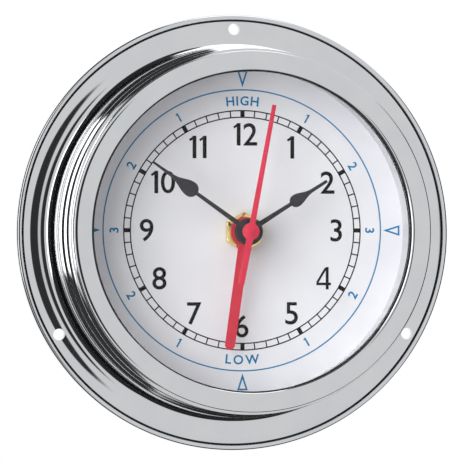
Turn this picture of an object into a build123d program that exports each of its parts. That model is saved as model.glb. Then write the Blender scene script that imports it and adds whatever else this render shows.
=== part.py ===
from build123d import *
import math
import os

# Wall-mounted time and tide clock, in millimetres.
# Every piece is drawn with the clock's axis along +Z, the wall at z = 0 and twelve o'clock along +Y,
# then turned so that twelve o'clock points along +Z and the dial faces -Y.

# Wall flange and drum of the case
flange_w = 9.15
rim_w = 1.6
rim_h = 2.6
rim_round_w = 0.8
groove_w = 0.35
groove_depth = 0.5
flange_edge_h = 2.3
flange_crown_h = 2.95
cove_w = 2.85
cove_h = 2.0
cove_mid_share = 0.32
drum_lip_w = 0.45
drum_taper_w = 0.1
shoulder_drop_h = 2.45
shoulder_wall = 1.6
case_wall = 2.4
ledge_w = 2.6
ledge_side_gap = 1.0
diagonal_share = 1.5
neck_wall = 1.35
screw_edge_dist = 4.0
screw_hole_d = 3.2
screw_count = 3

# Bezel, glass and what they clamp
thread_clearance = 0.1
seam_gap = 0.2
bezel_wall = 3.35
band_inset = 0.6
band_count = 3
band_round_w = 0.2
face_edge_inset = 0.75
face_edge_h = 3.7
face_edge_round_w = 0.95
face_edge_round_h = 0.25
face_drop_h = 0.1
lip_w = 4.25
lip_thick = 1.7
lip_round_w = 0.9
glass_thick = 1.8
glass_side_gap = 0.3
gasket_thick = 0.6
gasket_overlap_w = 0.9
spacer_wall = 1.1
spacer_side_gap = 0.1

# Dial and its fixing
dial_thick = 0.6
dial_side_gap = 0.2
movement_washer_thick = 0.5
movement_washer_w = 5.0
nut_washer_thick = 0.5
nut_washer_w = 0.6
nut_wall = 0.7
nut_h = 2.6
bushing_wall = 1.45
bushing_past_nut_len = 1.0
bushing_hole_gap = 0.1

# Nested pipes, from the inside out
arbor_r = 0.5
pipe_clearance = 0.05
minute_pipe_wall = 0.55
hour_pipe_wall = 0.6
tide_pipe_wall = 0.7

# Hands
tide_hand_gap = 1.2
tide_hand_thick = 0.5
tide_hand_len = 32.2
tide_hand_root_w = 3.0
tide_hand_tip_w = 2.7
tide_hand_point_len = 1.5
tide_hub_w = 1.5
hour_hand_gap = 3.0
hour_hand_thick = 0.4
hour_needle_len = 4.5
hour_hand_stem_w = 1.5
hour_hand_neck_w = 0.95
hour_hand_drop_w = 3.4
hour_hand_drop_dist = 15.6
hour_hand_drop_len = 5.6
hour_hand_tip_w = 0.8
hour_hub_w = 1.85
minute_hand_gap = 2.8
minute_hand_thick = 0.4
minute_needle_len = 5.6
minute_hand_stem_w = 1.4
minute_hand_neck_w = 0.9
minute_hand_drop_w = 4.2
minute_hand_drop_dist = 19.6
minute_hand_drop_len = 6.8
minute_hand_tip_w = 0.55
minute_hub_w = 2.5
second_hand_gap = 1.9
second_hand_thick = 0.35
second_hand_len = 34.6
second_hand_root_w = 1.55
second_hand_tip_w = 1.1
second_tail_len = 14.6
second_tail_root_w = 1.8
second_tail_w = 3.0
second_hub_r = 2.3
second_cap_r = 1.1
second_cap_h = 0.3
collet_wall = 0.5
collet_h = 0.8
pipe_past_hand_len = 0.3
glass_clearance = 0.7
tide_angle = 188.0
hour_angle = 57.7
minute_angle = 305.4
second_angle = 10.6

# Movement housing
housing_corner_r = 3.0
housing_wall = 1.2
cover_thick = 1.2
cover_side_gap = 0.1
front_plate_thick = 1.5
bay_front_thick = 0.8
pivot_depth = 0.6
pivot_end_gap = 0.1
post_w = 2.2

# Gears: pointed clock teeth, all modules and levels
addendum_share = 0.8
dedendum_share = 1.35
gap_share = 0.5
wheel_thick = 0.8
pinion_thick = 1.2
level_count = 8
wheel_wall_gap = 1.6
wheel_board_gap = 0.9
inter_dist_share = 0.5625
rotor_teeth = 8
inter_wheel_teeth = 48
inter_pinion_teeth = 8
second_wheel_teeth = 40
second_pinion_teeth = 8
third_wheel_teeth = 60
third_pinion_teeth = 8
centre_wheel_teeth = 64
cannon_teeth = 10
motion_wheel_teeth = 40
motion_pinion_teeth = 19
hour_wheel_teeth = 57
tide_wheel_teeth = 59
knob_pinion_teeth = 10
inter_dir = 90.0
rotor_dir = 90.0
third_dir = 150.0
motion_dir = 30.0
knob_dir = 20.0

# Stepping motor
magnet_r = 1.5
magnet_h = 2.5
magnet_gap = 0.4
stator_thick = 1.4
stator_half_w = 15.0
stator_below_h = 3.4
stator_arm_w = 3.8
stator_land_w = 3.0
core_w = 2.0
core_thick = 1.2
coil_r = 2.2
coil_flange_w = 0.8
coil_inset = 0.35
coil_end_gap = 0.4
coil_top_gap = 0.4
coil_side_gap = 1.08

# Circuit board and crystal
board_w = 7.8
board_len = 30.0
board_thick = 1.0
board_edge_gap = 0.6
board_post_h = 3.0
chip_r = 2.0
chip_h = 0.8
crystal_r = 1.0
crystal_len = 6.0

# Battery, AA size, and its contacts
battery_r = 7.25
battery_len = 50.5
battery_nub_r = 2.75
battery_nub_len = 1.2
battery_front_gap = 0.1
battery_wall_gap = 0.5
battery_side_gap = 0.25
contact_thick = 0.4
contact_w = 8.0
contact_reach = 2.7

# Setting knob
knob_r = 4.2
knob_h = 1.1
knob_gap = 0.2
knob_wall_gap = 0.5
knob_side_gap = 3.6
knob_shaft_r = 1.2
knob_flute_depth = 0.5
knob_flutes = 16

# One overrun serves every cut
cut_len = 1.0

# One whole turn, in degrees
full_turn = 360.0

# Heights that follow from the sizes above, counted from the wall
housing_back_z = knob_wall_gap + knob_h + knob_gap
battery_z = battery_wall_gap + battery_r
bay_front_z = battery_z + battery_r + battery_front_gap
housing_front_z = bay_front_z + bay_front_thick
dial_back_z = housing_front_z + movement_washer_thick
dial_front_z = dial_back_z + dial_thick
shoulder_z = dial_back_z - shoulder_drop_h
nut_front_z = dial_front_z + nut_washer_thick + nut_h
bushing_end_z = nut_front_z + bushing_past_nut_len
tide_hand_z = bushing_end_z + tide_hand_gap
hour_hand_z = tide_hand_z + tide_hand_thick + hour_hand_gap
minute_hand_z = hour_hand_z + hour_hand_thick + minute_hand_gap
second_hand_z = minute_hand_z + minute_hand_thick + second_hand_gap
second_top_z = second_hand_z + second_hand_thick + second_cap_h
glass_back_z = second_top_z + glass_clearance
neck_top_z = glass_back_z - gasket_thick
glass_front_z = glass_back_z + glass_thick
face_z = glass_front_z + lip_thick
plate_in_z = housing_front_z - front_plate_thick
cover_in_z = housing_back_z + cover_thick
arbor_low_z = cover_in_z - pivot_depth
arbor_high_z = plate_in_z + pivot_depth

# Gear levels, spaced evenly between the rear cover and the front plate
stack_thick = 4 * wheel_thick + 3 * pinion_thick
level_gap = (plate_in_z - cover_in_z - stack_thick) / level_count
pinion_overhang = (pinion_thick - wheel_thick) / 2
inter_wheel_z = cover_in_z + level_gap
second_wheel_z = inter_wheel_z + wheel_thick + level_gap
second_pinion_z = second_wheel_z + wheel_thick + level_gap
third_wheel_z = second_pinion_z + pinion_overhang
third_pinion_z = second_pinion_z + pinion_thick + level_gap
centre_wheel_z = third_pinion_z + pinion_overhang
cannon_z = third_pinion_z + pinion_thick + level_gap
motion_wheel_z = cannon_z + pinion_overhang
hour_pinion_z = motion_wheel_z + wheel_thick
hour_wheel_z = cannon_z + pinion_thick + level_gap
tide_wheel_z = hour_wheel_z + wheel_thick + level_gap
tide_pinion_z = tide_wheel_z - level_gap / 2
stator_z = third_wheel_z + wheel_thick + level_gap
core_z = stator_z + stator_thick
board_z = cover_in_z + board_post_h

# Radii of the nested pipes and of what sits on them
minute_pipe_in = arbor_r + pipe_clearance
minute_pipe_r = minute_pipe_in + minute_pipe_wall
hour_pipe_in = minute_pipe_r + pipe_clearance
hour_pipe_r = hour_pipe_in + hour_pipe_wall
tide_pipe_in = hour_pipe_r + pipe_clearance
tide_pipe_r = tide_pipe_in + tide_pipe_wall
bushing_in = tide_pipe_r + pipe_clearance
bushing_r = bushing_in + bushing_wall
bushing_hole_r = bushing_r + bushing_hole_gap
bearing_r = arbor_r + pipe_clearance

# The housing is as wide as the cell and its contacts, and the case goes round the housing
bay_half = (battery_len + contact_thick + contact_reach) / 2
housing_half = bay_half + housing_wall
ledge_in = housing_half * diagonal_share + ledge_side_gap
bore_r = ledge_in + ledge_w
neck_r = bore_r + neck_wall
bezel_bore_r = neck_r + thread_clearance
band_r = bezel_bore_r + bezel_wall
face_edge_r = band_r - band_inset * (band_count - 1) - face_edge_inset
lip_r = bezel_bore_r - lip_w
drum_foot_r = band_r + drum_lip_w
recess_r = drum_foot_r - case_wall
flange_r = drum_foot_r + flange_w
screw_circle_r = flange_r - screw_edge_dist
spacer_r = bore_r - spacer_side_gap
glass_r = bezel_bore_r - glass_side_gap
dial_r = bore_r - dial_side_gap

# Motor above the train: core at the top of the housing, rotor below it
core_y = bay_half - coil_top_gap - coil_r
window_low_y = core_y - coil_r - coil_side_gap
rotor_dist_up = window_low_y - stator_land_w

# Centre distances and modules; the hour and tide pairs share the motion arbor, so their modules differ a little
inter_dist = rotor_dist_up * inter_dist_share
second_module = 2 * inter_dist / (inter_pinion_teeth + second_wheel_teeth)
rotor_dist = rotor_dist_up - inter_dist
rotor_module = 2 * rotor_dist / (rotor_teeth + inter_wheel_teeth)
board_x0 = -bay_half + board_edge_gap
third_lean_share = -math.cos(math.radians(third_dir))
third_reach_teeth = third_lean_share * (second_pinion_teeth + third_wheel_teeth) / 2 + third_wheel_teeth / 2
third_module = (-board_x0 - board_w - wheel_board_gap) / (third_reach_teeth + addendum_share)
third_dist = third_module * (second_pinion_teeth + third_wheel_teeth) / 2
centre_module = 2 * third_dist / (third_pinion_teeth + centre_wheel_teeth)
knob_lean_share = math.cos(math.radians(motion_dir)) + math.cos(math.radians(knob_dir))
knob_tip_share = (knob_pinion_teeth + 2 * addendum_share) / (cannon_teeth + motion_wheel_teeth)
motion_dist = (bay_half - knob_side_gap) / (knob_lean_share + knob_tip_share)
hour_module = 2 * motion_dist / (motion_pinion_teeth + hour_wheel_teeth)
tide_module = 2 * motion_dist / (motion_pinion_teeth + tide_wheel_teeth)
cannon_module = 2 * motion_dist / (cannon_teeth + motion_wheel_teeth)
knob_dist = cannon_module * (knob_pinion_teeth + motion_wheel_teeth) / 2

# The gear room ends below the largest wheel, and the cell lies under it
gear_low_y = -centre_module * (centre_wheel_teeth / 2 + addendum_share) - wheel_wall_gap
bay_top_y = gear_low_y - housing_wall
battery_y = bay_top_y - battery_side_gap - battery_r
bay_low_y = battery_y - battery_r - battery_side_gap
housing_low_y = bay_low_y - housing_wall


def place(start, dist, direction):
    """A point at a distance and direction, in degrees, from another."""
    turn = math.radians(direction)
    return (start[0] + dist * math.cos(turn), start[1] + dist * math.sin(turn))


centre_at = (0, 0)
motion_at = place(centre_at, motion_dist, motion_dir)
knob_at = place(motion_at, knob_dist, knob_dir)
third_at = place(centre_at, third_dist, third_dir)
inter_at = place(centre_at, inter_dist, inter_dir)
rotor_at = place(inter_at, rotor_dist, rotor_dir)


def mesh_turn(turn_a, teeth_a, teeth_b, direction):
    """Turn of gear B, in degrees, so that its teeth stand in the gaps of gear A."""
    return direction + 180 + 180 / teeth_b - (turn_a - direction) * teeth_a / teeth_b


# Turns of the gears at rest, each from the gear that it meshes with
inter_pinion_turn = mesh_turn(0, second_wheel_teeth, inter_pinion_teeth, inter_dir)
rotor_turn = mesh_turn(0, inter_wheel_teeth, rotor_teeth, rotor_dir)
third_wheel_turn = mesh_turn(0, second_pinion_teeth, third_wheel_teeth, third_dir)
centre_wheel_turn = mesh_turn(0, third_pinion_teeth, centre_wheel_teeth, third_dir + 180)
motion_wheel_turn = mesh_turn(0, cannon_teeth, motion_wheel_teeth, motion_dir)
hour_wheel_turn = mesh_turn(0, motion_pinion_teeth, hour_wheel_teeth, motion_dir + 180)
tide_wheel_turn = mesh_turn(0, motion_pinion_teeth, tide_wheel_teeth, motion_dir + 180)
knob_turn = mesh_turn(motion_wheel_turn, motion_wheel_teeth, knob_pinion_teeth, knob_dir)


def turned(points):
    """A ring turned about the clock's axis from a closed outline of (radius, height) corners."""
    return revolve(Plane.XZ * make_face(Polyline(*points, close=True)), Axis.Z)


def ring(outer, inner, low, high):
    """A plain ring between two heights."""
    height = high - low
    solid = Cylinder(outer, height, align=(Align.CENTER, Align.CENTER, Align.MIN))
    if inner > 0:
        hole = Cylinder(inner, height + 2 * cut_len, align=(Align.CENTER, Align.CENTER, Align.MIN))
        solid = solid - Pos(0, 0, -cut_len) * hole
    return Pos(0, 0, low) * solid


def rod(at, radius, low, high):
    """A plain round rod parallel to the clock's axis."""
    return Pos(at[0], at[1], 0) * ring(radius, 0, low, high)


def block(x0, x1, y0, y1, z0, z1):
    """A box given by its faces."""
    solid = Box(x1 - x0, y1 - y0, z1 - z0, align=(Align.MIN, Align.MIN, Align.MIN))
    return Pos(x0, y0, z0) * solid


def gear(at, teeth, module, low, thick, turn, hole):
    """A gear with pointed teeth, one tooth standing at the given turn."""
    pitch_r = module * teeth / 2
    tip_r = pitch_r + module * addendum_share
    root_r = pitch_r - module * dedendum_share
    points = []
    for index in range(teeth):
        points.append(place(centre_at, tip_r, turn + full_turn * index / teeth))
        points.append(place(centre_at, root_r, turn + full_turn * (index + gap_share) / teeth))
    face = make_face(Polyline(*points, close=True))
    if hole > 0:
        face = face - Circle(hole)
    return Pos(at[0], at[1], low) * extrude(face, thick)


def case_body():
    """Flange, cove, drum, threaded neck and dial ledge as one casting, with its screw holes."""
    rim_in = flange_r - rim_w
    groove_in = rim_in - groove_w
    cove_out = drum_foot_r + cove_w
    crown_r = (groove_in + cove_out) / 2
    drum_top_r = drum_foot_r - drum_taper_w
    roof_z = shoulder_z - shoulder_wall
    points = [
        (recess_r, 0),
        (flange_r, 0),
        (flange_r, rim_h - rim_round_w),
        (flange_r - rim_round_w, rim_h),
        (rim_in, rim_h),
        (groove_in, flange_edge_h - groove_depth),
        (groove_in - groove_w, flange_edge_h),
        (crown_r, flange_crown_h),
        (cove_out, flange_crown_h),
        (drum_foot_r + cove_w * cove_mid_share, flange_crown_h + cove_h * cove_mid_share),
        (drum_foot_r, flange_crown_h + cove_h),
        (drum_top_r, shoulder_z),
        (neck_r, shoulder_z),
        (neck_r, neck_top_z),
        (bore_r, neck_top_z),
        (bore_r, dial_back_z),
        (ledge_in, dial_back_z),
        (ledge_in, roof_z),
        (recess_r, roof_z),
    ]
    body = turned(points)
    hole = Cylinder(screw_hole_d / 2, 2 * flange_crown_h + 2 * cut_len)
    for index in range(screw_count):
        at = place(centre_at, screw_circle_r, 90 + full_turn * index / screw_count)
        body = body - Pos(at[0], at[1], 0) * hole
    return body


def bezel_ring():
    """Skirt of stepped rounded bands, plain face falling a little outwards, and the inner lip."""
    low = shoulder_z + seam_gap
    top = face_z - face_edge_h
    band_h = (top - low) / band_count
    points = [(bezel_bore_r, low)]
    for index in range(band_count):
        radius = band_r - band_inset * index
        points.append((radius, low + band_h * index))
        points.append((radius, low + band_h * (index + 1) - band_round_w))
        points.append((radius - band_round_w, low + band_h * (index + 1)))
    points.append((face_edge_r, top))
    points.append((face_edge_r, face_z - face_drop_h - face_edge_round_h))
    points.append((face_edge_r - face_edge_round_w, face_z - face_drop_h))
    points.append((lip_r + lip_round_w, face_z))
    points.append((lip_r, face_z - lip_round_w))
    points.append((lip_r, glass_front_z))
    points.append((bezel_bore_r, glass_front_z))
    return turned(points)


def front_glass():
    return ring(glass_r, 0, glass_back_z, glass_front_z)


def glass_gasket():
    return ring(neck_r, bore_r - gasket_overlap_w, neck_top_z, glass_back_z)


def dial_spacer():
    return ring(spacer_r, spacer_r - spacer_wall, dial_front_z, neck_top_z)


def dial_plate():
    return ring(dial_r, bushing_hole_r, dial_back_z, dial_front_z)


def movement_washer():
    return ring(bushing_r + movement_washer_w, bushing_hole_r, housing_front_z, dial_back_z)


def nut_washer():
    return ring(bushing_r + nut_washer_w, bushing_hole_r, dial_front_z, dial_front_z + nut_washer_thick)


def hex_nut():
    """Hexagon nut with flats to the left and right."""
    prism = extrude(RegularPolygon(bushing_r + nut_wall, 6, major_radius=False, rotation=30), nut_h)
    prism = prism - ring(bushing_r, 0, -cut_len, nut_h + cut_len)
    return Pos(0, 0, dial_front_z + nut_washer_thick) * prism


def threaded_bushing():
    return ring(bushing_r, bushing_in, plate_in_z, bushing_end_z)


def drop_hand(needle_len, stem_w, neck_w, drop_w, drop_at, drop_len, tip_w, thick):
    """A hand along +Y: tapered stem, drop with its round end inwards, and a needle."""
    half = drop_w / 2
    stem = Polyline(
        (-stem_w / 2, 0),
        (stem_w / 2, 0),
        (neck_w / 2, drop_at),
        (-neck_w / 2, drop_at),
        close=True,
    )
    drop_end = drop_at + drop_len
    belly_share = 0.38
    waist_share = 0.52
    right = Bezier(
        (half, drop_at),
        (half, drop_at + drop_len * belly_share),
        (neck_w / 2, drop_at + drop_len * waist_share),
        (neck_w / 2, drop_end),
    )
    left = Bezier(
        (-neck_w / 2, drop_end),
        (-neck_w / 2, drop_at + drop_len * waist_share),
        (-half, drop_at + drop_len * belly_share),
        (-half, drop_at),
    )
    round_end = ThreePointArc((-half, drop_at), (0, drop_at - half), (half, drop_at))
    needle = Polyline(
        (neck_w / 2, drop_end),
        (tip_w / 2, drop_end + needle_len),
        (-tip_w / 2, drop_end + needle_len),
        (-neck_w / 2, drop_end),
    )
    shape = make_face(stem) + make_face(Curve() + [right, needle, left, round_end])
    return extrude(shape, thick)


def on_pipe(hand, hub_w, pipe_r, low, thick):
    """Adds a hub and a short collet to a hand and bores it for its pipe."""
    solid = hand + ring(pipe_r + hub_w, 0, 0, thick) + ring(pipe_r + collet_wall, 0, -collet_h, thick)
    solid = solid - ring(pipe_r, 0, -collet_h - cut_len, thick + cut_len)
    return Pos(0, 0, low) * solid


def tide_hand():
    root_half = tide_hand_root_w / 2
    tip_half = tide_hand_tip_w / 2
    shoulder = tide_hand_len - tide_hand_point_len
    sides = Polyline((-tip_half, shoulder), (-root_half, 0), (root_half, 0), (tip_half, shoulder))
    point = ThreePointArc((tip_half, shoulder), (0, tide_hand_len), (-tip_half, shoulder))
    blade = extrude(make_face(Curve() + [sides, point]), tide_hand_thick)
    hand = on_pipe(blade, tide_hub_w, tide_pipe_r, tide_hand_z, tide_hand_thick)
    return Rot(Z=-tide_angle) * hand


def hour_hand():
    hand = drop_hand(
        hour_needle_len,
        hour_hand_stem_w,
        hour_hand_neck_w,
        hour_hand_drop_w,
        hour_hand_drop_dist,
        hour_hand_drop_len,
        hour_hand_tip_w,
        hour_hand_thick,
    )
    return Rot(Z=-hour_angle) * on_pipe(hand, hour_hub_w, hour_pipe_r, hour_hand_z, hour_hand_thick)


def minute_hand():
    hand = drop_hand(
        minute_needle_len,
        minute_hand_stem_w,
        minute_hand_neck_w,
        minute_hand_drop_w,
        minute_hand_drop_dist,
        minute_hand_drop_len,
        minute_hand_tip_w,
        minute_hand_thick,
    )
    hand = on_pipe(hand, minute_hub_w, minute_pipe_r, minute_hand_z, minute_hand_thick)
    return Rot(Z=-minute_angle) * hand


def second_hand():
    """Thin sweep hand with a widening tail, closed by a small cap over its arbor."""
    root_half = second_hand_root_w / 2
    tip_half = second_hand_tip_w / 2
    tail_root_half = second_tail_root_w / 2
    tail_half = second_tail_w / 2
    tail_end = second_tail_len - tail_half
    needle = Polyline(
        (-root_half, 0),
        (root_half, 0),
        (tip_half, second_hand_len),
        (-tip_half, second_hand_len),
        close=True,
    )
    sides = Polyline((-tail_half, -tail_end), (-tail_root_half, 0), (tail_root_half, 0), (tail_half, -tail_end))
    tail_tip = ThreePointArc((tail_half, -tail_end), (0, -second_tail_len), (-tail_half, -tail_end))
    blade = make_face(needle) + make_face(Curve() + [sides, tail_tip])
    solid = extrude(blade, second_hand_thick) + ring(second_hub_r, 0, 0, second_hand_thick)
    solid = solid + ring(second_cap_r, 0, 0, second_hand_thick + second_cap_h)
    solid = solid + ring(arbor_r + collet_wall, 0, -collet_h, second_hand_thick)
    solid = solid - ring(arbor_r, 0, -collet_h - cut_len, second_hand_thick)
    return Rot(Z=-second_angle) * Pos(0, 0, second_hand_z) * solid


def bearing(at, low, high):
    return rod(at, bearing_r, low, high)


def movement_shell():
    """Square moulded housing: gear room closed by the cover, battery bay open to the rear."""
    height = housing_half - housing_low_y
    outline = RectangleRounded(2 * housing_half, height, housing_corner_r)
    shell = Pos(0, housing_half - height / 2, housing_back_z) * extrude(outline, housing_front_z - housing_back_z)
    shell = shell - block(-bay_half, bay_half, gear_low_y, bay_half, housing_back_z - cut_len, plate_in_z)
    shell = shell - block(-bay_half, bay_half, bay_low_y, bay_top_y, housing_back_z - cut_len, bay_front_z)
    shell = shell - ring(bushing_r, 0, plate_in_z - cut_len, housing_front_z + cut_len)
    for at in (motion_at, knob_at, third_at, inter_at, rotor_at):
        shell = shell - bearing(at, plate_in_z - cut_len, arbor_high_z + pivot_end_gap)
    return shell


board_y0 = bay_half - board_edge_gap - board_len


def board_posts():
    x = board_x0 + board_w / 2
    return [(x, board_y0 + board_w / 2), (x, board_y0 + board_len - board_w / 2)]


def stator_posts():
    x = stator_half_w - stator_arm_w / 2
    return [(-x, rotor_at[1]), (x, rotor_at[1])]


def post(at, high):
    half = post_w / 2
    return block(at[0] - half, at[0] + half, at[1] - half, at[1] + half, housing_back_z, high)


def movement_cover():
    """Rear plate with the pivot bearings and the posts that carry the board and the stator."""
    gap = cover_side_gap
    plate = block(-bay_half + gap, bay_half - gap, gear_low_y + gap, bay_half - gap, housing_back_z, cover_in_z)
    for at in board_posts():
        plate = plate + post(at, board_z)
    for at in stator_posts():
        plate = plate + post(at, stator_z)
    for at in (centre_at, motion_at, third_at, inter_at, rotor_at):
        plate = plate - bearing(at, arbor_low_z - pivot_end_gap, cover_in_z + cut_len)
    return plate - rod(knob_at, knob_shaft_r + pipe_clearance, housing_back_z - cut_len, cover_in_z + cut_len)


def second_wheel():
    """Seconds wheel and pinion on the long arbor that runs through all the pipes."""
    solid = rod(centre_at, arbor_r, arbor_low_z, second_hand_z + second_hand_thick)
    wheel = gear(centre_at, second_wheel_teeth, second_module, second_wheel_z, wheel_thick, 0, 0)
    pinion = gear(centre_at, second_pinion_teeth, third_module, second_wheel_z, second_pinion_z
                  - second_wheel_z + pinion_thick, 0, 0)
    return solid + wheel + pinion


def intermediate_wheel():
    solid = rod(inter_at, arbor_r, arbor_low_z, arbor_high_z)
    wheel = gear(inter_at, inter_wheel_teeth, rotor_module, inter_wheel_z, wheel_thick, 0, 0)
    pinion_high = second_wheel_z + (wheel_thick + pinion_thick) / 2
    pinion = gear(inter_at, inter_pinion_teeth, second_module, inter_wheel_z,
                  pinion_high - inter_wheel_z, inter_pinion_turn, 0)
    return solid + wheel + pinion


def rotor():
    """Arbor, pinion and the small round magnet of the stepping motor."""
    solid = rod(rotor_at, arbor_r, arbor_low_z, arbor_high_z)
    low = inter_wheel_z - pinion_overhang
    solid = solid + gear(rotor_at, rotor_teeth, rotor_module, low, pinion_thick, rotor_turn, 0)
    middle = stator_z + stator_thick / 2
    return solid + rod(rotor_at, magnet_r, middle - magnet_h / 2, middle + magnet_h / 2)


def third_wheel():
    solid = rod(third_at, arbor_r, arbor_low_z, arbor_high_z)
    wheel = gear(third_at, third_wheel_teeth, third_module, third_wheel_z, wheel_thick, third_wheel_turn, 0)
    pinion = gear(third_at, third_pinion_teeth, centre_module, third_wheel_z,
                  third_pinion_z - third_wheel_z + pinion_thick, 0, 0)
    return solid + wheel + pinion


def centre_wheel():
    """Wheel that grips the minute pipe by friction, so that the hands can be set."""
    bore = minute_pipe_r + pipe_clearance
    return gear(centre_at, centre_wheel_teeth, centre_module, centre_wheel_z, wheel_thick,
                centre_wheel_turn, bore)


def minute_pipe():
    low = centre_wheel_z - pipe_clearance
    high = minute_hand_z + minute_hand_thick + pipe_past_hand_len
    pinion = gear(centre_at, cannon_teeth, cannon_module, cannon_z, pinion_thick, 0, minute_pipe_in)
    return ring(minute_pipe_r, minute_pipe_in, low, high) + pinion


def motion_wheel():
    """One wheel and two pinions: one turns the hour wheel, the other the tide wheel."""
    solid = rod(motion_at, arbor_r, arbor_low_z, arbor_high_z)
    solid = solid + gear(motion_at, motion_wheel_teeth, cannon_module, motion_wheel_z, wheel_thick,
                         motion_wheel_turn, 0)
    solid = solid + gear(motion_at, motion_pinion_teeth, hour_module, hour_pinion_z,
                         tide_pinion_z - hour_pinion_z, 0, 0)
    return solid + gear(motion_at, motion_pinion_teeth, tide_module, tide_pinion_z,
                        pinion_thick, 0, 0)


def hour_wheel():
    high = hour_hand_z + hour_hand_thick + pipe_past_hand_len
    wheel = gear(centre_at, hour_wheel_teeth, hour_module, hour_wheel_z, wheel_thick,
                 hour_wheel_turn, hour_pipe_in)
    return ring(hour_pipe_r, hour_pipe_in, hour_wheel_z, high) + wheel


def tide_wheel():
    high = tide_hand_z + tide_hand_thick + pipe_past_hand_len
    wheel = gear(centre_at, tide_wheel_teeth, tide_module, tide_wheel_z, wheel_thick,
                 tide_wheel_turn, tide_pipe_in)
    return ring(tide_pipe_r, tide_pipe_in, tide_wheel_z, high) + wheel


def setting_knob():
    """Fluted knob behind the cover, with the shaft and pinion that turn the motion wheel."""
    high = housing_back_z - knob_gap
    low = high - knob_h
    points = []
    for index in range(knob_flutes):
        points.append(place(centre_at, knob_r, full_turn * index / knob_flutes))
        points.append(place(centre_at, knob_r - knob_flute_depth, full_turn * (index + gap_share) / knob_flutes))
    grip = extrude(make_face(Polyline(*points, close=True)), knob_h)
    knob = Pos(knob_at[0], knob_at[1], low) * grip
    knob = knob + rod(knob_at, knob_shaft_r, low, cannon_z)
    knob = knob + rod(knob_at, arbor_r, low, arbor_high_z)
    return knob + gear(knob_at, knob_pinion_teeth, cannon_module, cannon_z, pinion_thick, knob_turn, 0)


def stator():
    """Flat iron yoke round the rotor, with two arms that carry the coil core."""
    low = rotor_at[1] - stator_below_h
    window_half = stator_half_w - stator_arm_w
    high = core_y + core_w
    plate = block(-stator_half_w, stator_half_w, low, high, stator_z, core_z)
    plate = plate - block(-window_half, window_half, window_low_y, high + cut_len, stator_z - cut_len, core_z + cut_len)
    return plate - rod(rotor_at, magnet_r + magnet_gap, stator_z - cut_len, core_z + cut_len)


def coil_core():
    return block(-stator_half_w, stator_half_w, core_y - core_w / 2, core_y + core_w / 2,
                 core_z, core_z + core_thick)


def coil():
    """Bobbin with its winding, threaded on the core."""
    half = stator_half_w - stator_arm_w - coil_end_gap
    wound = half - coil_flange_w
    wound_r = coil_r - coil_inset
    middle = core_z + core_thick / 2
    body = block(-wound, wound, core_y - wound_r, core_y + wound_r, middle - wound_r, middle + wound_r)
    for side in (-1, 1):
        inner = side * wound
        outer = side * half
        body = body + block(min(inner, outer), max(inner, outer), core_y - coil_r, core_y + coil_r,
                            middle - coil_r, middle + coil_r)
    hole = block(-stator_half_w, stator_half_w, core_y - core_w / 2, core_y + core_w / 2,
                 core_z, core_z + core_thick)
    return body - hole


def circuit_board():
    board = block(board_x0, board_x0 + board_w, board_y0, board_y0 + board_len, board_z, board_z + board_thick)
    chip_at = (board_x0 + board_w / 2, board_y0 + board_len / 2)
    return board + rod(chip_at, chip_r, board_z, board_z + board_thick + chip_h)


def quartz_crystal():
    x = board_x0 + board_w / 2
    y = board_y0 + board_len - board_w
    z = board_z + board_thick + crystal_r
    along = Plane(origin=(x, y, z), x_dir=(1, 0, 0), z_dir=(0, 1, 0))
    return along * Cylinder(crystal_r, crystal_len)


battery_plus_x = bay_half - contact_thick
battery_minus_x = battery_plus_x - battery_len


def battery():
    """AA cell lying across the bay, its nub to the right."""
    body_len = battery_len - battery_nub_len
    start = Plane(origin=(battery_minus_x, battery_y, battery_z), x_dir=(0, 1, 0), z_dir=(1, 0, 0))
    can = Cylinder(battery_r, body_len, align=(Align.CENTER, Align.CENTER, Align.MIN))
    nub = Cylinder(battery_nub_r, battery_len, align=(Align.CENTER, Align.CENTER, Align.MIN))
    return start * (can + nub)


def contact_plus():
    return block(battery_plus_x, bay_half, battery_y - contact_w / 2, battery_y + contact_w / 2,
                 battery_z - contact_w / 2, battery_z + contact_w / 2)


def contact_minus():
    """Bent strip: a foot on the bay's end wall and a bowed tongue that presses on the cell."""
    wall_x = -bay_half
    reach = battery_minus_x - wall_x
    half = contact_w / 2
    outer = [(0, -half), (0, half), (contact_thick, half), (reach, 0), (contact_thick, -half)]
    inner_reach = reach - 2 * contact_thick
    inner_half = half - 2 * contact_thick
    hollow = [(contact_thick, -inner_half), (contact_thick, inner_half), (inner_reach, 0)]
    face = make_face(Polyline(*outer, close=True)) - make_face(Polyline(*hollow, close=True))
    strip = extrude(face, contact_w / 2, both=True)
    return Pos(wall_x, battery_y, battery_z) * strip


pieces = [
    case_body,
    bezel_ring,
    front_glass,
    glass_gasket,
    dial_spacer,
    dial_plate,
    movement_washer,
    nut_washer,
    hex_nut,
    threaded_bushing,
    tide_hand,
    hour_hand,
    minute_hand,
    second_hand,
    movement_shell,
    movement_cover,
    rotor,
    intermediate_wheel,
    second_wheel,
    third_wheel,
    centre_wheel,
    minute_pipe,
    motion_wheel,
    hour_wheel,
    tide_wheel,
    setting_knob,
    stator,
    coil_core,
    coil,
    circuit_board,
    quartz_crystal,
    battery,
    contact_plus,
    contact_minus,
]

os.makedirs("parts", exist_ok=True)
stand_up = Rot(X=90)
for make in pieces:
    export_step(stand_up * make(), os.path.join("parts", make.__name__ + ".step"))
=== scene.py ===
import math

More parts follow.
